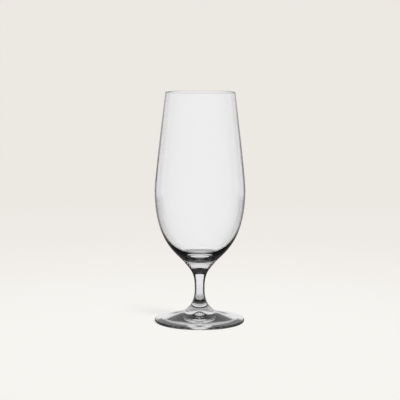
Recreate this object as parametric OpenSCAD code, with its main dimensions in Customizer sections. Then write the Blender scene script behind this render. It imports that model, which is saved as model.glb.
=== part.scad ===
// Pilsner glass on a short stem. Three pieces of clear glass are welded hot, face to face:
// the blown bowl, the drawn stem and the round foot.
// +Z is up, and the origin is the centre of the foot's underside, on the table.

/* [Whole glass] */
// Height of the whole glass, from the table to the top of the lip
glass_h = 189.1; // [175:0.1:205]
// Height of the weld between the bowl and the stem
bowl_weld_z = 49.2; // [44:0.1:54]
// Radius of the weld between the bowl and the stem
bowl_weld_r = 12.4; // [10:0.1:15]
// Height of the weld between the stem and the foot
foot_weld_z = 8.7; // [7.5:0.1:10]
// Radius of the weld between the stem and the foot
foot_weld_r = 12.8; // [10:0.1:16]

/* [Bowl] */
// Outer radius of the lip
lip_r = 28.4; // [25:0.1:33]
// Thickness of the glass at the lip, which is fire-polished to a full round
lip_t = 1; // [0.7:0.05:1.6]
// Lean of the wall at the lip, from upright, in degrees
lip_lean = 6; // [0:0.5:10]
// Outer radius of the belly
belly_r = 37.05; // [34:0.05:40]
// Height of the widest place of the belly
belly_z = 109; // [98:0.5:118]
// Thickness of the wall at the belly
belly_t = 1.2; // [0.8:0.05:2]
// Thickness of the solid bottom, from the weld up to the lowest place inside
bottom_t = 4.4; // [3:0.1:12]
// Lean of the outside at the bowl's weld, from upright, in degrees
bowl_weld_lean = 37.7; // [25:0.1:48]

/* [Stem] */
// Radius of the stem's waist
waist_r = 4.05; // [3:0.05:6]
// Height of the stem's waist
waist_z = 27.2; // [21:0.1:33]
// Fall of the flare where it meets the foot, below level, in degrees
flare_fall = 34.4; // [25:0.1:60]

/* [Foot] */
// Outer radius of the foot
foot_r = 36.9; // [32:0.1:42]
// Thickness of the foot at its rounded edge
edge_t = 2.3; // [1.6:0.1:3.5]
// Fall of the foot's top near the edge, below level, in degrees
top_fall = 4.2; // [3:0.1:12]
// Width of the flat ring that rests on the table
rest_w = 4.2; // [2:0.1:6]
// Height of the hollow under the foot, before its middle is pushed up
hollow_h = 4.2; // [0.5:0.1:4.5]
// Radius of the pushed-up middle of the hollow
push_r = 10; // [6:0.1:14]
// How much higher the middle is pushed up
push_h = 2; // [0:0.1:2.5]

/* [Hidden] */
$fn = 128;
glass_tint = [0.87, 0.90, 0.90, 0.45];
// Steps along each cubic arc, and round the lip and the foot's edge
arc_steps = 28;
round_steps = 10;

// How far the two guide points of each cubic arc reach, as shares of the arc's own height or width
wall_shares = [0.11, 0.13];
bowl_shares = [0.725, 0.155];
neck_shares = [0.395, 0.62];
flare_shares = [0.4, 0.47];
top_shares = [0.08, 0.62];
hollow_shares = [0.2, 0.2];
// The same inside the bowl: along the wall's height, and along the floor's radius
inner_shares = [0.8, 0.46];

// Centre of the lip's round, and the way along the wall there
lip_centre = [lip_r - lip_t / 2, glass_h - lip_t / 2];
lip_out = [cos(lip_lean), sin(lip_lean)];
lip_down = [sin(lip_lean), -cos(lip_lean)];
// Way down along the outside at each weld
bowl_weld_down = [-sin(bowl_weld_lean), -cos(bowl_weld_lean)];
flare_down = [cos(flare_fall), -sin(flare_fall)];
top_down = [cos(top_fall), -sin(top_fall)];

wall_h = glass_h - belly_z;
bowl_h = belly_z - bowl_weld_z;
neck_h = bowl_weld_z - waist_z;
flare_h = waist_z - foot_weld_z;
inner_r = belly_r - belly_t;
floor_z = bowl_weld_z + bottom_t;
depth = belly_z - floor_z;
edge_r = edge_t / 2;
edge_centre = [foot_r - edge_r, edge_r];
top_w = edge_centre.x - foot_weld_r;
rest_in_r = edge_centre.x - rest_w;

bowl_weld = [bowl_weld_r, bowl_weld_z];
foot_weld = [foot_weld_r, foot_weld_z];
waist = [waist_r, waist_z];
belly = [belly_r, belly_z];

// Points of the cubic arc from a to d, with the guide points b and c
function cubic(a, b, c, d) = [
    for (i = [0:arc_steps])
        let (t = i / arc_steps, s = 1 - t)
        s * s * s * a + 3 * s * s * t * b + 3 * s * t * t * c + t * t * t * d
];

// Points of the round arc about a centre, between two angles
function round_arc(centre, r, from, to) = [
    for (i = [0:round_steps])
        let (turn = from + (to - from) * i / round_steps)
        centre + r * [cos(turn), sin(turn)]
];

// How much the middle of the hollow is pushed up at a radius, in a smooth swell
function push_rise(r) = r < push_r ? push_h * (1 + cos(180 * r / push_r)) / 2 : 0;

// A wall from the lip down to the belly, on the side of the lip that side names: 1 outside, -1 inside
function upper_wall(side, foot_of_wall) =
    let (start = lip_centre + side * lip_t / 2 * lip_out)
    cubic(start, start + wall_shares[0] * wall_h * lip_down,
        foot_of_wall + [0, wall_shares[1] * wall_h], foot_of_wall);

// The outline that a section starts and ends on the axis with
function closed(points) = concat([[0, points[0].y]], points, [[0, points[len(points) - 1].y]]);

function reversed(points) = [for (i = [len(points) - 1:-1:0]) points[i]];

bowl_outside = concat(
    upper_wall(1, belly),
    cubic(belly, belly - [0, bowl_shares[0] * bowl_h],
        bowl_weld - bowl_shares[1] * bowl_h * bowl_weld_down, bowl_weld)
);

bowl_inside = concat(
    upper_wall(-1, [inner_r, belly_z]),
    cubic([inner_r, belly_z], [inner_r, belly_z - inner_shares[0] * depth],
        [inner_shares[1] * inner_r, floor_z], [0, floor_z])
);

stem_outside = concat(
    cubic(bowl_weld, bowl_weld + neck_shares[0] * neck_h * bowl_weld_down,
        waist + [0, neck_shares[1] * neck_h], waist),
    cubic(waist, waist - [0, flare_shares[0] * flare_h],
        foot_weld - flare_shares[1] * flare_h * flare_down, foot_weld)
);

hollow = [
    for (point = cubic([rest_in_r, 0], [(1 - hollow_shares[0]) * rest_in_r, 0],
        [hollow_shares[1] * rest_in_r, hollow_h], [0, hollow_h]))
        point + [0, push_rise(point.x)]
];

foot_outside = concat(
    cubic(foot_weld, foot_weld + top_shares[0] * top_w * flare_down,
        edge_centre + [0, edge_r] - top_shares[1] * top_w * top_down, edge_centre + [0, edge_r]),
    round_arc(edge_centre, edge_r, 90, -90),
    hollow
);

module turned(outline) {
    rotate_extrude() polygon(outline);
}

// The blown bowl: a thin wall that thickens below the belly into a solid bottom
module bowl() {
    color(glass_tint)
        turned(concat(
            [[0, bowl_weld_z]],
            reversed(bowl_outside),
            round_arc(lip_centre, lip_t / 2, lip_lean, 180 + lip_lean),
            bowl_inside
        ));
}

// The stem: a waisted rod that widens upwards to the bowl and downwards to the foot
module stem() {
    color(glass_tint)
        turned(closed(stem_outside));
}

// The foot: a shallow cone with a rounded edge. Underneath, inside its resting ring, it is hollow,
// and the middle of the hollow is pushed up under the stem
module foot() {
    color(glass_tint)
        turned(concat([[0, foot_weld_z]], foot_outside));
}

bowl();
stem();
foot();
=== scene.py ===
"""Pilsner glass on a short stem: blown bowl, drawn stem and pressed foot, welded hot face to face.

Each piece is an outline of cubic and round arcs in the half plane of radius and height, spun about the
axis into a closed shell of clear glass. The glass has no colour of its own, so its look is refraction: the
studio round it is a pale panel and dark surroundings, and the thick glass bends the dark into view.
"""

from __future__ import annotations

import logging
import math
from dataclasses import dataclass
from dataclasses import field
from enum import Enum
from typing import Any
from typing import Callable

import bmesh
import bpy
from mathutils import Matrix
from mathutils import Vector
from mathutils.geometry import interpolate_bezier

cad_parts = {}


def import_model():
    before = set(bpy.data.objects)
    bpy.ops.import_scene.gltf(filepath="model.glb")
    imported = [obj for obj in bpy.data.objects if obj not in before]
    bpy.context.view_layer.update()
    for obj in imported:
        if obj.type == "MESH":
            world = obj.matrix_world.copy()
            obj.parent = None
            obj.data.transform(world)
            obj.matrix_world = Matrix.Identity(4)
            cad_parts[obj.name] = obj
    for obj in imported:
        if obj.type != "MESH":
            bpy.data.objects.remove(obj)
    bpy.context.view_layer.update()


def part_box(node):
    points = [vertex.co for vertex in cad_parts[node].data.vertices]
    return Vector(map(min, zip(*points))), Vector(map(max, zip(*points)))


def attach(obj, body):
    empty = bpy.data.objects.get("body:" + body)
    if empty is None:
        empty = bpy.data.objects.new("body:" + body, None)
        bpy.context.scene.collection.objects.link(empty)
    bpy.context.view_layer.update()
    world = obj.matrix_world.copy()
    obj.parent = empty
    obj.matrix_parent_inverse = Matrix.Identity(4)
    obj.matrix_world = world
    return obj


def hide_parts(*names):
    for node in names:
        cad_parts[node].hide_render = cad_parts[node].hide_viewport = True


MM = 0.001
PHOTO_SIDE = 400
AXIS_UP = Vector((0, 0, 1))
MERGE_GAP = 0.0001 * MM

log = logging.getLogger("pilsner_glass")


def linear(colour: str) -> tuple[float, float, float, float]:
    """Turns an sRGB hex colour into linear red, green, blue and full alpha.

    Args:
        colour: Six hex digits after a #, as a painter would write the colour.

    Returns:
        The linear colour, with an alpha of 1.
    """
    shares = [int(colour[i:i + 2], 16) / 255 for i in (1, 3, 5)]
    red, green, blue = (c / 12.92 if c <= 0.04045 else ((c + 0.055) / 1.055) ** 2.4 for c in shares)
    return red, green, blue, 1.0


def add_node(tree: bpy.types.NodeTree, kind: str, settings: dict[str, Any] | None = None,
             **inputs: Any) -> bpy.types.Node:
    """Adds a node, sets its properties, and fills or links its inputs.

    Args:
        tree: The node tree that takes the node.
        kind: The node's type name.
        settings: Properties of the node itself, by name.
        **inputs: Socket values by socket name, with _ for a space, or in_0, in_1 for a socket's place.
            An output socket is linked, and anything else is set as the value.

    Returns:
        The new node.
    """
    node = tree.nodes.new(kind)
    for name, value in (settings or {}).items():
        setattr(node, name, value)
    for name, value in inputs.items():
        key = int(name[3:]) if name.startswith("in_") else name.replace("_", " ")
        socket = node.inputs[key]
        if isinstance(value, bpy.types.NodeSocket):
            tree.links.new(value, socket)
        else:
            socket.default_value = value
    return node


class Working(Enum):
    """How a gather of glass was given its shape, with the pitch of the ripple that is left, in mm."""

    BLOWN = 14.0
    DRAWN = 9.0
    PRESSED = 11.0


@dataclass(frozen=True)
class ClearGlass:
    """Clear soda-lime glass, fire-polished: colourless, mirror smooth, with a ripple too shallow to feel."""

    slot: str
    working: Working
    ior: float = 1.52
    ripple_depth: float = 0.0004 * MM
    ripple_octaves: float = 1.0
    stretch_along_axis: float = 0.18

    def material(self) -> bpy.types.Material:
        """Makes the material.

        Returns:
            A glass whose surface waves slightly, drawn out along the axis as hot glass flows. The eye gets
            sharp, bright and dark images of the room, with edges that are never quite ruled.
        """
        made = bpy.data.materials.new(f"{self.slot}_fire_polished")
        made.use_nodes = True
        tree = made.node_tree
        shader = tree.nodes["Principled BSDF"]
        shader.inputs["Base Color"].default_value = linear("#FFFFFF")
        shader.inputs["Transmission Weight"].default_value = 1.0
        shader.inputs["IOR"].default_value = self.ior
        shader.inputs["Roughness"].default_value = 0.0
        place = add_node(tree, "ShaderNodeTexCoord")
        flow = add_node(tree, "ShaderNodeMapping", Vector=place.outputs["Object"],
                        Scale=(1, 1, self.stretch_along_axis))
        ripple = add_node(tree, "ShaderNodeTexNoise", Vector=flow.outputs["Vector"],
                          Scale=1 / (self.working.value * MM), Detail=self.ripple_octaves)
        bump = add_node(tree, "ShaderNodeBump", Height=ripple.outputs["Fac"], Distance=self.ripple_depth)
        tree.links.new(bump.outputs["Normal"], shader.inputs["Normal"])
        return made


@dataclass(frozen=True)
class WeldFace:
    """The fused face between two gathers: the glass is one there, so nothing bends or shines."""

    name: str = "fused_weld"

    def material(self) -> bpy.types.Material:
        """Makes the material.

        Returns:
            A material that lets all light straight through, so the eye finds no trace of it.
        """
        made = bpy.data.materials.new(self.name)
        made.use_nodes = True
        tree = made.node_tree
        tree.nodes.clear()
        clear = add_node(tree, "ShaderNodeBsdfTransparent", Color=linear("#FFFFFF"))
        add_node(tree, "ShaderNodeOutputMaterial", Surface=clear.outputs["BSDF"])
        return made


class Turning:
    """An outline drawn stretch by stretch in the XZ plane, then spun about +Z into a closed shell."""

    AROUND = 384
    ROUND_STEPS = 32

    def __init__(self, radius: float, height: float, steps: int) -> None:
        """Starts the outline.

        Args:
            radius: The first point's distance from the axis, in metres.
            height: The first point's height, in metres.
            steps: How many steps each cubic arc takes.
        """
        self.mesh = bmesh.new()
        self.steps = steps
        self.tip = self.mesh.verts.new((radius, 0, height))

    def line_to(self, radius: float, height: float) -> None:
        """Adds a straight stretch.

        Args:
            radius: The distance from the axis that it runs to, in metres.
            height: The height that it runs to, in metres.
        """
        corner = self.mesh.verts.new((radius, 0, height))
        self.mesh.edges.new((self.tip, corner))
        self.tip = corner

    def curve_to(self, lead_out: Vector, lead_in: Vector, end: Vector,
                 swell: Callable[[float], float] = lambda radius: 0.0) -> None:
        """Adds a cubic arc.

        Args:
            lead_out: The guide point that the arc sets out towards.
            lead_in: The guide point that it comes in from.
            end: Where it ends.
            swell: How much the arc is lifted at a radius.
        """
        for point in interpolate_bezier(self.tip.co, lead_out, lead_in, end, self.steps + 1)[1:]:
            self.line_to(point.x, point.z + swell(point.x))

    def round_to(self, centre: Vector, turn: float) -> None:
        """Adds a round arc.

        Args:
            centre: The arc's centre.
            turn: The angle that it turns through, counted from up to outwards, in radians.
        """
        made = bmesh.ops.spin(self.mesh, geom=[self.tip], cent=centre, axis=(0, 1, 0),
                              angle=turn, steps=self.ROUND_STEPS, use_duplicate=False)
        self.tip = next(part for part in made["geom_last"] if isinstance(part, bmesh.types.BMVert))

    def spun(self, name: str, weld_heights: tuple[float, ...]) -> bpy.types.Object:
        """Spins the outline into a piece.

        Args:
            name: The piece's name.
            weld_heights: The heights of its flat weld faces, which take the second material.

        Returns:
            The piece, smooth all over but for the rims of its weld faces.
        """
        outline = self.mesh.verts[:] + self.mesh.edges[:]
        bmesh.ops.spin(self.mesh, geom=outline, cent=(0, 0, 0), axis=AXIS_UP, angle=math.tau,
                       steps=self.AROUND, use_merge=True)
        bmesh.ops.remove_doubles(self.mesh, verts=self.mesh.verts, dist=MERGE_GAP)
        bmesh.ops.recalc_face_normals(self.mesh, faces=self.mesh.faces)
        for face in self.mesh.faces:
            face.smooth = True
            for height in weld_heights:
                if all(abs(corner.co.z - height) < MERGE_GAP for corner in face.verts):
                    face.material_index = 1
        for edge in self.mesh.edges:
            kinds = {face.material_index for face in edge.link_faces}
            edge.smooth = len(kinds) == 1
        data = bpy.data.meshes.new(name)
        self.mesh.to_mesh(data)
        self.mesh.free()
        piece = bpy.data.objects.new(name, data)
        bpy.context.scene.collection.objects.link(piece)
        return piece


def at(radius: float, height: float) -> Vector:
    """Gives the point of the outline's plane at a radius and a height, in metres."""
    return Vector((radius, 0, height))


def falling(lean: float) -> Vector:
    """Gives the way down along a wall that leans outwards downwards by an angle from upright, in degrees."""
    return at(math.sin(math.radians(lean)), -math.cos(math.radians(lean)))


@dataclass
class Bowl:
    """The blown bowl: a thin wall from the round lip past the belly, and a thick bottom over the weld."""

    lip_radius: float = 28.4 * MM
    lip_thickness: float = 1.0 * MM
    lip_lean: float = 6.0
    belly_height: float = 109.0 * MM
    belly_thickness: float = 1.2 * MM
    bottom_thickness: float = 4.4 * MM
    weld_radius: float = 12.4 * MM
    weld_lean: float = 37.7
    wall_shares: tuple[float, float] = (0.11, 0.13)
    lower_shares: tuple[float, float] = (0.725, 0.155)
    inside_shares: tuple[float, float] = (0.8, 0.46)
    arc_steps: int = 46
    finish: ClearGlass = field(default_factory=lambda: ClearGlass("bowl_glass", Working.BLOWN))

    def __post_init__(self) -> None:
        """Takes the heights and the belly's radius from the frame."""
        low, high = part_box("bowl")
        self.weld_height = low[2]
        self.lip_height = high[2]
        self.belly_radius = high[0]

    def lip_side(self, side: int) -> Vector:
        """Gives where the lip's round meets the wall, outside for 1 and inside for -1."""
        lean = math.radians(self.lip_lean)
        return self.lip_centre() + side * self.lip_thickness / 2 * at(math.cos(lean), math.sin(lean))

    def lip_centre(self) -> Vector:
        """Gives the centre of the lip's round."""
        return at(self.lip_radius - self.lip_thickness / 2, self.lip_height - self.lip_thickness / 2)

    def build(self) -> bpy.types.Object:
        """Makes the bowl's shell, from the middle of its floor up the inside and down the outside.

        Returns:
            The bowl.
        """
        wall_rise = self.lip_height - self.belly_height
        floor = self.weld_height + self.bottom_thickness
        depth = self.belly_height - floor
        inside_radius = self.belly_radius - self.belly_thickness
        drop = self.belly_height - self.weld_height
        lip_down = falling(self.lip_lean)
        weld_up = falling(self.weld_lean)
        weld_up.z = -weld_up.z
        turning = Turning(0, floor, self.arc_steps)
        turning.curve_to(at(self.inside_shares[1] * inside_radius, floor),
                         at(inside_radius, self.belly_height - self.inside_shares[0] * depth),
                         at(inside_radius, self.belly_height))
        inner_lip = self.lip_side(-1)
        turning.curve_to(at(inside_radius, self.belly_height + self.wall_shares[1] * wall_rise),
                         inner_lip + self.wall_shares[0] * wall_rise * lip_down, inner_lip)
        turning.round_to(self.lip_centre(), math.pi)
        turning.curve_to(self.lip_side(1) + self.wall_shares[0] * wall_rise * lip_down,
                         at(self.belly_radius, self.belly_height + self.wall_shares[1] * wall_rise),
                         at(self.belly_radius, self.belly_height))
        weld_rim = at(self.weld_radius, self.weld_height)
        turning.curve_to(at(self.belly_radius, self.belly_height - self.lower_shares[0] * drop),
                         weld_rim + self.lower_shares[1] * drop * weld_up, weld_rim)
        turning.line_to(0, self.weld_height)
        return turning.spun("blown_bowl", (self.weld_height,))


@dataclass
class Stem:
    """The drawn stem: a solid rod with a waist, which widens to the bowl above and to the foot below."""

    waist_radius: float = 4.05 * MM
    waist_height: float = 27.2 * MM
    foot_weld_radius: float = 12.8 * MM
    flare_fall: float = 34.4
    neck_shares: tuple[float, float] = (0.395, 0.62)
    flare_shares: tuple[float, float] = (0.4, 0.47)
    arc_steps: int = 64
    finish: ClearGlass = field(default_factory=lambda: ClearGlass("stem_glass", Working.DRAWN))

    def __post_init__(self) -> None:
        """Takes the heights of the two welds from the frame."""
        low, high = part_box("stem")
        self.foot_weld_height = low[2]
        self.bowl_weld_height = high[2]

    def build(self, bowl: Bowl) -> bpy.types.Object:
        """Makes the stem's shell between the two welds.

        Args:
            bowl: The bowl, whose weld the stem takes its upper radius and lean from.

        Returns:
            The stem.
        """
        neck = self.bowl_weld_height - self.waist_height
        flare = self.waist_height - self.foot_weld_height
        top = at(bowl.weld_radius, self.bowl_weld_height)
        waist = at(self.waist_radius, self.waist_height)
        bottom = at(self.foot_weld_radius, self.foot_weld_height)
        inward = falling(-bowl.weld_lean)
        outward = falling(90 - self.flare_fall)
        turning = Turning(0, self.bowl_weld_height, self.arc_steps)
        turning.line_to(top.x, top.z)
        turning.curve_to(top + self.neck_shares[0] * neck * inward,
                         waist + self.neck_shares[1] * neck * AXIS_UP, waist)
        turning.curve_to(waist - self.flare_shares[0] * flare * AXIS_UP,
                         bottom - self.flare_shares[1] * flare * outward, bottom)
        turning.line_to(0, self.foot_weld_height)
        return turning.spun("drawn_stem", (self.bowl_weld_height, self.foot_weld_height))


@dataclass
class Foot:
    """The pressed foot: a shallow cone with a round edge, hollow underneath inside its resting ring.

    The middle of the hollow is pushed up under the stem.
    """

    edge_thickness: float = 2.3 * MM
    top_fall: float = 4.2
    rest_width: float = 4.2 * MM
    hollow_height: float = 4.2 * MM
    push_radius: float = 10.0 * MM
    push_height: float = 2.0 * MM
    top_shares: tuple[float, float] = (0.08, 0.62)
    hollow_shares: tuple[float, float] = (0.2, 0.2)
    arc_steps: int = 96
    finish: ClearGlass = field(default_factory=lambda: ClearGlass("foot_glass", Working.PRESSED))

    def __post_init__(self) -> None:
        """Takes the foot's radius and the height of its weld from the frame."""
        low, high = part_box("foot")
        self.radius = high[0]
        self.weld_height = high[2]

    def push(self, radius: float) -> float:
        """Gives how much the hollow is pushed up at a radius, in a smooth swell."""
        share = min(radius / self.push_radius, 1.0)
        return self.push_height * (1 + math.cos(math.pi * share)) / 2

    def build(self, stem: Stem) -> bpy.types.Object:
        """Makes the foot's shell, from the weld over the top, round the edge and under.

        Args:
            stem: The stem, whose lower weld the foot carries on from.

        Returns:
            The foot.
        """
        edge = self.edge_thickness / 2
        centre = at(self.radius - edge, edge)
        width = centre.x - stem.foot_weld_radius
        rest_inside = centre.x - self.rest_width
        rim = at(stem.foot_weld_radius, self.weld_height)
        crown = centre + edge * AXIS_UP
        turning = Turning(0, self.weld_height, self.arc_steps)
        turning.line_to(rim.x, rim.z)
        turning.curve_to(rim + self.top_shares[0] * width * falling(90 - stem.flare_fall),
                         crown - self.top_shares[1] * width * falling(90 - self.top_fall), crown)
        turning.round_to(centre, math.pi)
        turning.line_to(rest_inside, 0)
        turning.curve_to(at((1 - self.hollow_shares[0]) * rest_inside, 0),
                         at(self.hollow_shares[1] * rest_inside, self.hollow_height),
                         at(0, self.hollow_height), self.push)
        return turning.spun("pressed_foot", (self.weld_height,))


@dataclass
class Assembly:
    """The three welded pieces, dressed and tied to the frame."""

    bowl: Bowl = field(default_factory=Bowl)
    stem: Stem = field(default_factory=Stem)
    foot: Foot = field(default_factory=Foot)
    shading: tuple[str, ...] = ("stem", "foot")

    def place(self) -> None:
        """Builds each piece, gives it its glass and lets it stand for its node.

        Clear glass takes no daylight from the table, so matt surfaces don't see it, and the thin bowl
        throws no shadow. The solid stem and foot throw the faint one that the photograph shows.
        """
        weld = WeldFace().material()
        made = (
            (self.bowl.build(), self.bowl.finish, "bowl"),
            (self.stem.build(self.bowl), self.stem.finish, "stem"),
            (self.foot.build(self.stem), self.foot.finish, "foot"),
        )
        for piece, finish, node in made:
            piece.data.materials.append(finish.material())
            piece.data.materials.append(weld)
            piece.visible_diffuse = False
            piece.visible_shadow = node in self.shading
            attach(piece, "root")
            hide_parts(node)
            log.info("%s: %d faces, %s glass", piece.name, len(piece.data.polygons), finish.working.name)


@dataclass
class PhotoCamera:
    """The camera of the photograph, from the size of its view in pixels and its place before the glass."""

    focal_px: float = 1377.7
    tilt_down: float = 6.942
    roll: float = 0.217
    distance: float = 1119.9 * MM
    height: float = 237.2 * MM
    sensor: float = 36.0

    def place(self) -> None:
        """Makes the camera and gives it to the scene."""
        data = bpy.data.cameras.new("photo_camera")
        data.sensor_width = self.sensor
        data.lens = self.focal_px / PHOTO_SIDE * self.sensor
        camera = bpy.data.objects.new("photo_camera", data)
        bpy.context.scene.collection.objects.link(camera)
        tilt = Matrix.Rotation(math.radians(90 - self.tilt_down), 4, "X")
        roll = Matrix.Rotation(math.radians(self.roll), 4, "Z")
        spot = Matrix.Translation((0, -self.distance, self.height))
        camera.matrix_world = spot @ tilt @ roll
        bpy.context.scene.camera = camera


def flat_disc(name: str, reach: float, drop: float, rim: float = 0.0) -> bpy.types.Object:
    """Makes a round, level disc for the stage, centred under the glass.

    Args:
        name: The disc's name.
        reach: Its radius.
        drop: How far it lies below the plane that the foot rests on.
        rim: How high its edge is turned up, or 0 for a bare edge.

    Returns:
        The disc.
    """
    mesh = bmesh.new()
    bmesh.ops.create_circle(mesh, cap_ends=True, radius=reach, segments=Turning.AROUND)
    if rim:
        turned_up = bmesh.ops.extrude_edge_only(mesh, edges=mesh.edges)["geom"]
        corners = [part for part in turned_up if isinstance(part, bmesh.types.BMVert)]
        bmesh.ops.translate(mesh, verts=corners, vec=(0, 0, rim))
    bmesh.ops.translate(mesh, verts=mesh.verts, vec=(0, 0, -drop))
    data = bpy.data.meshes.new(name)
    mesh.to_mesh(data)
    mesh.free()
    disc = bpy.data.objects.new(name, data)
    bpy.context.scene.collection.objects.link(disc)
    return disc


class Sums:
    """Sums on numbers, as nodes of one tree.

    FAR_CORNER and NEAR_CORNER say between which bearings the room's corners lie behind and before the glass.
    """

    FAR_CORNER = (31.0, 70.0)
    NEAR_CORNER = (121.0, 149.0)

    def __init__(self, tree: bpy.types.NodeTree) -> None:
        """Takes the tree and clears it."""
        self.tree = tree
        tree.nodes.clear()

    def product(self, *values: Any) -> bpy.types.NodeSocket:
        """Multiplies numbers.

        Args:
            *values: Two or more numbers.

        Returns:
            Their product.
        """
        result = values[0]
        for value in values[1:]:
            result = add_node(self.tree, "ShaderNodeMath", {"operation": "MULTIPLY"},
                              in_0=result, in_1=value).outputs["Value"]
        return result

    def rest(self, share: Any) -> bpy.types.NodeSocket:
        """Gives what a share leaves of 1."""
        return add_node(self.tree, "ShaderNodeMath", {"operation": "SUBTRACT"},
                        in_0=1.0, in_1=share).outputs["Value"]

    def larger(self, one: Any, other: Any) -> bpy.types.NodeSocket:
        """Gives the larger of two numbers."""
        return add_node(self.tree, "ShaderNodeMath", {"operation": "MAXIMUM"},
                        in_0=one, in_1=other).outputs["Value"]

    def under(self, value: Any, limit: Any) -> bpy.types.NodeSocket:
        """Gives 1 where a value is under a limit, and 0 elsewhere."""
        return add_node(self.tree, "ShaderNodeMath", {"operation": "LESS_THAN"},
                        in_0=value, in_1=limit).outputs["Value"]

    def over(self, value: Any, limit: Any) -> bpy.types.NodeSocket:
        """Gives 1 where a value is over a limit, and 0 elsewhere."""
        return add_node(self.tree, "ShaderNodeMath", {"operation": "GREATER_THAN"},
                        in_0=value, in_1=limit).outputs["Value"]

    def blend(self, share: Any, start: Any, end: Any) -> bpy.types.NodeSocket:
        """Gives a number that goes from start to end as a share goes from 0 to 1."""
        mix = add_node(self.tree, "ShaderNodeMix", {"data_type": "FLOAT"}, in_0=share, in_2=start, in_3=end)
        return mix.outputs[0]

    def above(self, value: Any, edge: float, soft: float) -> bpy.types.NodeSocket:
        """Gives 0 below an edge and 1 above it, with a soft step that wide on each side."""
        step = add_node(self.tree, "ShaderNodeMapRange", {"interpolation_type": "SMOOTHSTEP"}, Value=value,
                        From_Min=edge - soft, From_Max=edge + soft)
        return step.outputs["Result"]

    def below(self, value: Any, edge: float, soft: float) -> bpy.types.NodeSocket:
        """Gives 1 below an edge and 0 above it, with a soft step that wide on each side."""
        return self.rest(self.above(value, edge, soft))

    def bearing(self, east: Any, north: Any) -> bpy.types.NodeSocket:
        """Gives the bearing of a place or a way.

        Args:
            east: How far it lies to the right.
            north: How far it lies behind.

        Returns:
            The angle off the way back, to either side: 0 behind the glass and 180 before it, in degrees.
        """
        turn = add_node(self.tree, "ShaderNodeMath", {"operation": "ARCTAN2"}, in_0=east, in_1=north)
        angle = add_node(self.tree, "ShaderNodeMath", {"operation": "DEGREES"}, in_0=turn.outputs["Value"])
        return add_node(self.tree, "ShaderNodeMath", {"operation": "ABSOLUTE"},
                        in_0=angle.outputs["Value"]).outputs["Value"]

    def elevation(self, up: Any) -> bpy.types.NodeSocket:
        """Gives how steeply a way rises, from its part along +Z, in degrees above level."""
        rise = add_node(self.tree, "ShaderNodeMath", {"operation": "ARCSINE"}, in_0=up)
        return add_node(self.tree, "ShaderNodeMath", {"operation": "DEGREES"},
                        in_0=rise.outputs["Value"]).outputs["Value"]

    def corners(self, aside: Any, soft: float, rear_share: float) -> bpy.types.NodeSocket:
        """Gives how much a bearing lies in one of the room's four corners.

        Args:
            aside: The bearing.
            soft: How wide the soft edges of the corners are on each side, in degrees.
            rear_share: What the two corners before the glass count for.

        Returns:
            1 in the two corners behind the glass, the share in the two before it, and 0 elsewhere.
        """
        far, near = (self.product(self.above(aside, start, soft), self.below(aside, end, soft))
                     for start, end in (self.FAR_CORNER, self.NEAR_CORNER))
        return self.larger(far, self.product(near, rear_share))

    def colour_along(self, length: Any,
                     stops: tuple[tuple[float, tuple[float, ...]], ...]) -> bpy.types.NodeSocket:
        """Gives a colour that follows a length.

        Args:
            length: The length.
            stops: Lengths in rising order, each with its linear colour. The last is held beyond its length.

        Returns:
            The colour at that length.
        """
        reach = stops[-1][0]
        share = add_node(self.tree, "ShaderNodeMath", {"operation": "DIVIDE"}, in_0=length, in_1=reach)
        ramp = add_node(self.tree, "ShaderNodeValToRGB", Fac=share.outputs["Value"])
        elements = ramp.color_ramp.elements
        for index, (stop_length, colour) in enumerate(stops):
            stop = elements[index] if index < len(elements) else elements.new(stop_length / reach)
            stop.position = stop_length / reach
            stop.color = colour
        return ramp.outputs["Color"]

    def level_along(self, length: Any, stops: tuple[tuple[float, float], ...]) -> bpy.types.NodeSocket:
        """Gives a grey level that follows a length."""
        return self.colour_along(length, tuple((stop, (level, level, level, 1.0)) for stop, level in stops))


class LightPath:
    """How light reached a shader, counted from the camera: its mirror bounces, and the faces it crossed.

    The limits lie between the counts that occur. One wall has two faces, and the whole bowl has four.
    """

    NONE = 0.5
    ONE = 1.5
    ONE_WALL = 3.0
    MOST_BOUNCES = 5.5

    def __init__(self, sums: Sums) -> None:
        """Adds the Light Path node.

        Args:
            sums: The sums whose tree takes it.
        """
        self.sums = sums
        path = add_node(sums.tree, "ShaderNodeLightPath").outputs
        self.from_camera = path["Is Camera Ray"]
        self.off_matt = sums.over(path["Diffuse Depth"], self.NONE)
        self.bounces = path["Glossy Depth"]
        self.faces = path["Transmission Depth"]

    def straight(self) -> bpy.types.NodeSocket:
        """Gives 1 for light that never bounced."""
        return self.sums.under(self.bounces, self.NONE)

    def once_at_most(self) -> bpy.types.NodeSocket:
        """Gives 1 for light that bounced once or never."""
        return self.sums.under(self.bounces, self.ONE)

    def spent(self) -> bpy.types.NodeSocket:
        """Gives 1 for light that has bounced too often to be seen."""
        return self.sums.over(self.bounces, self.MOST_BOUNCES)

    def outside_glass(self) -> bpy.types.NodeSocket:
        """Gives 1 for light that crossed no face."""
        return self.sums.under(self.faces, self.NONE)

    def one_wall_at_most(self) -> bpy.types.NodeSocket:
        """Gives 1 for light that crossed one wall, one solid stem or nothing."""
        return self.sums.under(self.faces, self.ONE_WALL)

    def whole_bowl(self) -> bpy.types.NodeSocket:
        """Gives 1 for light that crossed more than one wall."""
        return self.sums.over(self.faces, self.ONE_WALL)


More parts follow.
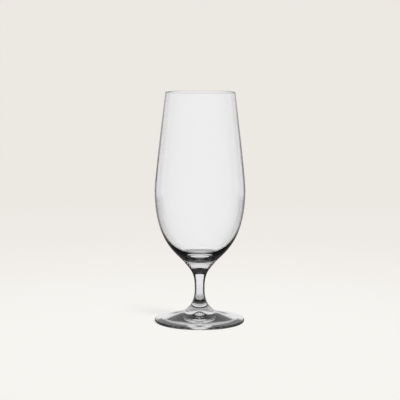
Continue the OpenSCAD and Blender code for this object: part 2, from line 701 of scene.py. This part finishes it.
@dataclass
class Table:
    """The pale table top, palest before the glass, which fades into the backdrop's colour far away."""

    palest_before: float = 100 * MM
    gap_under_foot: float = 0.02 * MM
    stops: tuple[tuple[float, str], ...] = (
        (160 * MM, "#F7F5F1"),
        (290 * MM, "#F4F2EE"),
        (410 * MM, "#F2EEEA"),
        (550 * MM, "#EFEBE6"),
        (930 * MM, "#ECE8E2"),
    )

    def place(self) -> None:
        """Makes the table top and keeps it out of the glass's refractions."""
        table = flat_disc("table_top", self.stops[-1][0], self.gap_under_foot)
        table.data.materials.append(self.material())
        table.visible_transmission = False
        table.visible_glossy = False

    def material(self) -> bpy.types.Material:
        """Makes the matt table paint.

        Returns:
            A matt material whose colour follows the distance from its palest place.
        """
        made = bpy.data.materials.new("matt_table_paint")
        made.use_nodes = True
        sums = Sums(made.node_tree)
        place = add_node(sums.tree, "ShaderNodeTexCoord").outputs["Object"]
        away = add_node(sums.tree, "ShaderNodeVectorMath", {"operation": "DISTANCE"},
                        in_0=place, in_1=(0, -self.palest_before, 0)).outputs["Value"]
        colour = sums.colour_along(away, tuple((length, linear(paint)) for length, paint in self.stops))
        matt = add_node(sums.tree, "ShaderNodeBsdfDiffuse", Color=colour)
        add_node(sums.tree, "ShaderNodeOutputMaterial", Surface=matt.outputs["BSDF"])
        return made


@dataclass
class PaintedTableGlow:
    """The table as it is seen through the glass, a disc that glows with painted light and shade: painted
    shadow under the stem, pale under the foot, then dimmer.

    Four sheets of painted shade lie round the glass, off to the corners, and draw the dark edges of the
    stem. They end in a low upturned rim, and the dark flags of the studio carry on above it. Light that
    goes straight through one wall sees all of that. What has bounced in the glass, or has gone through the
    whole bowl, sees only the near table with a painted sheen, and passes over the painted sheets. The stops
    behind and before give the table's painted level by its distance from the axis, on the far side of the
    glass and on the near side.
    """

    near: float = 75 * MM
    near_through_bowl: float = 45 * MM
    drop: float = 0.01 * MM
    rim: float = 17 * MM
    # Painted light and shade by distance from the axis: painted shadow under the stem, pale under the foot,
    # then dimmer.
    behind: tuple[tuple[float, float], ...] = (
        (10 * MM, 0.06),
        (14 * MM, 0.92),
        (38 * MM, 0.92),
        (44 * MM, 0.34),
        (52 * MM, 0.54),
        (75 * MM, 0.78),
        (248 * MM, 0.86),
    )
    before: tuple[tuple[float, float], ...] = (
        (10 * MM, 0.06),
        (14 * MM, 0.6),
        (24 * MM, 0.74),
        (27.5 * MM, 0.5),
        (31 * MM, 0.3),
        (34 * MM, 0.9),
        (248 * MM, 0.86),
    )
    before_from: float = 116.0
    before_soft: float = 8.0
    # Sheets of painted shade at the corners, each painted paler along its middle.
    shade_sheet_from: float = 48 * MM
    shade_sheet_fade: float = 6 * MM
    shade_sheet_soft: float = 4.0
    shade_sheet_level: float = 0.02
    corner_bearing: float = 45.0
    core_from: float = 42.0
    core_soft: float = 2.0
    core_level: float = 0.2
    rear_share: float = 0.6
    # Painted sheen: how brightly the disc glows for light that bounced in the glass or crossed the whole
    # bowl.
    sheen_once: float = 0.12
    sheen_behind: float = 0.42
    sheen_around: float = 0.1
    sheen_edge: float = 38.0
    sheen_soft: float = 8.0

    def place(self) -> None:
        """Makes the glowing disc of painted light that only light out of the glass meets."""
        table = flat_disc("painted_glow_disc", self.behind[-1][0], self.drop, self.rim)
        table.data.materials.append(self.material())
        table.visible_camera = False
        table.visible_diffuse = False
        table.visible_glossy = False
        table.visible_shadow = False

    def material(self) -> bpy.types.Material:
        """Makes the painted light and shade.

        Returns:
            A glowing material of painted light and shade, as bright as the path of the light that meets it
            calls for.
        """
        made = bpy.data.materials.new("painted_light_seen_through_glass")
        made.use_nodes = True
        sums = Sums(made.node_tree)
        place = add_node(sums.tree, "ShaderNodeTexCoord").outputs["Object"]
        away = add_node(sums.tree, "ShaderNodeVectorMath", {"operation": "LENGTH"},
                        in_0=place).outputs["Value"]
        east, north, _ = add_node(sums.tree, "ShaderNodeSeparateXYZ", Vector=place).outputs
        aside = sums.bearing(east, north)
        path = LightPath(sums)
        straight = path.straight()
        clear = sums.product(straight, path.one_wall_at_most())
        # The painted light of the table, by bearing and distance from the axis.
        level = sums.blend(sums.above(aside, self.before_from, self.before_soft),
                           sums.level_along(away, self.behind), sums.level_along(away, self.before))
        # Lays the sheets of painted shade over the painted table light.
        level = self.under_painted_shade_sheets(sums, aside, away, level)
        sheen = sums.blend(sums.below(aside, self.sheen_edge, self.sheen_soft),
                           self.sheen_around, self.sheen_behind)
        once = sums.product(path.once_at_most(), sums.rest(straight))
        sheen = sums.blend(path.spent(), sums.blend(once, sheen, self.sheen_once), 0.0)
        strength = sums.blend(clear, sheen, 1.0)
        # The disc glows with painted light, though it is no lamp.
        glow = add_node(sums.tree, "ShaderNodeEmission", Color=level, Strength=strength)
        gone = add_node(sums.tree, "ShaderNodeBsdfTransparent", Color=linear("#FFFFFF"))
        reach = sums.blend(straight, self.near, self.near_through_bowl)
        lies = sums.larger(clear, sums.under(away, reach))
        seen = add_node(sums.tree, "ShaderNodeMixShader", in_0=lies, in_1=gone.outputs[0],
                        in_2=glow.outputs[0])
        add_node(sums.tree, "ShaderNodeOutputMaterial", Surface=seen.outputs[0])
        return made

    def under_painted_shade_sheets(self, sums: Sums, aside: Any, away: Any, level: Any) -> bpy.types.NodeSocket:
        """Gives the table's painted level with four sheets of painted shade laid on it, the near pair the
        paler.

        Args:
            sums: The material's nodes.
            aside: The bearing of the place on the table.
            away: Its distance from the axis.
            level: The level of the bare table there.

        Returns:
            The level with the painted shade of the sheets, each of which is painted paler along its middle.
        """
        folded = add_node(sums.tree, "ShaderNodeMath", {"operation": "PINGPONG"},
                          in_0=aside, in_1=self.corner_bearing).outputs["Value"]
        shade_sheet = sums.product(sums.corners(aside, self.shade_sheet_soft, self.rear_share),
                             sums.above(away, self.shade_sheet_from, self.shade_sheet_fade))
        tone = sums.blend(sums.above(folded, self.core_from, self.core_soft), self.shade_sheet_level,
                          self.core_level)
        return sums.blend(shade_sheet, level, tone)


@dataclass
class Studio:
    """The light: even daylight on matt things, a soft key from the right, and what is seen in the glass.

    Light that comes out of the glass meets the studio in one of three ways. What has bounced inside or off
    the glass sees a pale panel behind it, with high wings, and dark all round; after one bounce it sees dim
    side walls too. What went straight through one wall or one solid stem sees a pale room with a dark
    ceiling and four dark flags. What went straight through the whole bowl sees the pale room from every
    side. Angles are in degrees, and levels go from 0 to 1.
    """

    backdrop: str = "#ECE8E2"
    key_share: float = 0.15
    key_height: float = 38.0
    key_from_right: float = 43.0
    key_softness: float = 24.0
    soft: float = 4.0
    dark: float = 0.01
    surround: float = 0.03
    surround_from: float = 62.5
    panel_half_width: float = 30.0
    panel_low: float = -48.0
    panel_high: float = 68.0
    panel_level: float = 0.78
    panel_through_bowl: float = 1.0
    panel_off_outside: float = 0.72
    glancing_level: float = 0.12
    side_wall_edge: float = 76.0
    side_wall_low: float = -8.0
    side_wall_low_soft: float = 1.0
    side_wall_high: float = 25.0
    side_wall_level: float = 0.45
    wing_half_width: float = 58.0
    wing_low: float = 32.0
    wing_level: float = 0.6
    wall_pale: float = 0.86
    ceiling: float = 22.0
    flag_low: float = -6.6
    flag_low_soft: float = 0.8
    rear_flag_share: float = 0.6
    bowl_pale: float = 1.0
    bowl_ceiling: float = 8.0
    bowl_ceiling_level: float = 0.62
    floor_from: float = -35.0
    floor_to: float = -49.0
    floor_to_soft: float = 2.0
    floor_level: float = 0.36
    light_steps: int = 32

    def place(self) -> None:
        """Makes the world and the key light, and lets light through as many walls as it meets."""
        self.world()
        self.key()
        cycles = bpy.context.scene.cycles
        cycles.max_bounces = self.light_steps
        cycles.transmission_bounces = self.light_steps
        cycles.glossy_bounces = self.light_steps
        cycles.transparent_max_bounces = self.light_steps
        cycles.caustics_refractive = True
        cycles.caustics_reflective = True

    def key(self) -> None:
        """Makes the key light, which only draws the faint shadow on the table."""
        lamp = bpy.data.lights.new("key_light", "SUN")
        lamp.angle = math.radians(self.key_softness)
        lamp.energy = self.key_share * math.pi / math.sin(math.radians(self.key_height))
        key = bpy.data.objects.new("key_light", lamp)
        bpy.context.scene.collection.objects.link(key)
        lean = Matrix.Rotation(math.radians(90 - self.key_height), 4, "X")
        turn = Matrix.Rotation(math.radians(self.key_from_right), 4, "Z")
        key.matrix_world = turn @ lean
        key.visible_glossy = False
        key.visible_transmission = False

    def world(self) -> None:
        """Makes the world: backdrop for the camera, even white for matt things, studio for the glass."""
        world = bpy.data.worlds.new("studio")
        world.use_nodes = True
        world.cycles.sampling_method = "NONE"
        bpy.context.scene.world = world
        sums = Sums(world.node_tree)
        path = LightPath(sums)
        seen = add_node(sums.tree, "ShaderNodeBackground", Color=linear(self.backdrop))
        even = add_node(sums.tree, "ShaderNodeBackground", Color=linear("#FFFFFF"),
                        Strength=1 - self.key_share)
        glass = add_node(sums.tree, "ShaderNodeBackground", Color=self.seen_in_glass(sums, path))
        inner = add_node(sums.tree, "ShaderNodeMixShader", in_0=path.off_matt, in_1=glass.outputs[0],
                         in_2=even.outputs[0])
        outer = add_node(sums.tree, "ShaderNodeMixShader", in_0=path.from_camera,
                         in_1=inner.outputs[0], in_2=seen.outputs[0])
        add_node(sums.tree, "ShaderNodeOutputWorld", Surface=outer.outputs[0])

    def seen_in_glass(self, sums: Sums, path: LightPath) -> bpy.types.NodeSocket:
        """Works out how bright the studio is along a way out of the glass.

        Args:
            sums: The world's nodes.
            path: How the light got there.

        Returns:
            The level for a bounced ray, a ray through one wall or a ray through the whole bowl.
        """
        way = add_node(sums.tree, "ShaderNodeTexCoord").outputs["Generated"]
        east, north, up = add_node(sums.tree, "ShaderNodeSeparateXYZ", Vector=way).outputs
        aside = sums.bearing(east, north)
        height = sums.elevation(up)
        clear = sums.blend(path.whole_bowl(), self.through_wall(sums, aside, height),
                           self.through_bowl(sums, aside, height))
        return sums.blend(path.straight(), self.bounced(sums, aside, height, path), clear)

    def bounced(self, sums: Sums, aside: Any, height: Any, path: LightPath) -> bpy.types.NodeSocket:
        """Gives the level for light that bounced: the panel behind, its wings, and the dark round them.

        Light that bounced once, off the outside or in one wall, also sees dim side walls, and a dim panel
        below the horizon. Light that is spent sees the dark.

        Args:
            sums: The world's nodes.
            aside: The bearing of the way.
            height: Its elevation.
            path: How the light got there.

        Returns:
            The level along that way.
        """
        one_wall = path.one_wall_at_most()
        once = path.once_at_most()
        level = sums.blend(one_wall, self.panel_through_bowl, self.panel_level)
        level = sums.blend(path.outside_glass(), level, self.panel_off_outside)
        level = sums.blend(sums.product(one_wall, once, sums.below(height, 0.0, self.soft)),
                           level, self.glancing_level)
        upright = sums.below(height, self.panel_high, self.soft)
        panel = sums.product(upright, sums.above(height, self.panel_low, self.soft),
                             sums.below(aside, self.panel_half_width, self.soft))
        wings = sums.product(upright, sums.above(height, self.wing_low, self.soft),
                             sums.below(aside, self.wing_half_width, self.soft))
        around = sums.blend(sums.above(aside, self.surround_from, self.soft), self.dark, self.surround)
        around = sums.blend(wings, around, self.wing_level)
        walls = sums.product(one_wall, once,
                             sums.above(height, self.side_wall_low, self.side_wall_low_soft),
                             sums.below(height, self.side_wall_high, self.soft),
                             sums.below(aside, self.side_wall_edge, self.soft))
        around = sums.blend(walls, around, self.side_wall_level)
        return sums.blend(path.spent(), sums.blend(panel, around, level), self.dark)

    def through_wall(self, sums: Sums, aside: Any, height: Any) -> bpy.types.NodeSocket:
        """Gives the level for light straight through one wall: pale, but for the ceiling and four flags.

        Args:
            sums: The world's nodes.
            aside: The bearing of the way.
            height: Its elevation.

        Returns:
            The level along that way.
        """
        flag = sums.product(sums.corners(aside, self.soft, self.rear_flag_share),
                            sums.above(height, self.flag_low, self.flag_low_soft))
        unlit = sums.larger(flag, sums.above(height, self.ceiling, self.soft))
        return sums.blend(unlit, self.wall_pale, self.dark)

    def through_bowl(self, sums: Sums, aside: Any, height: Any) -> bpy.types.NodeSocket:
        """Gives the level for light straight through the whole bowl.

        It is pale, but for the ceiling and a band of the floor behind the glass.

        Args:
            sums: The world's nodes.
            aside: The bearing of the way.
            height: Its elevation.

        Returns:
            The level along that way.
        """
        high = sums.blend(sums.above(height, self.bowl_ceiling, self.soft), self.bowl_pale,
                          self.bowl_ceiling_level)
        floor = sums.product(sums.below(height, self.floor_from, self.soft),
                             sums.above(height, self.floor_to, self.floor_to_soft),
                             sums.below(aside, self.panel_half_width, self.soft))
        return sums.blend(floor, high, self.floor_level)


def main() -> None:
    """Loads the frame, then makes the camera, the studio, the table and the glass."""
    logging.basicConfig(level=logging.INFO, format="%(message)s")
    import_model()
    bpy.context.scene.view_settings.view_transform = "Standard"
    PhotoCamera().place()
    Studio().place()
    Table().place()
    PaintedTableGlow().place()
    Assembly().place()


if __name__ == "__main__":
    main()
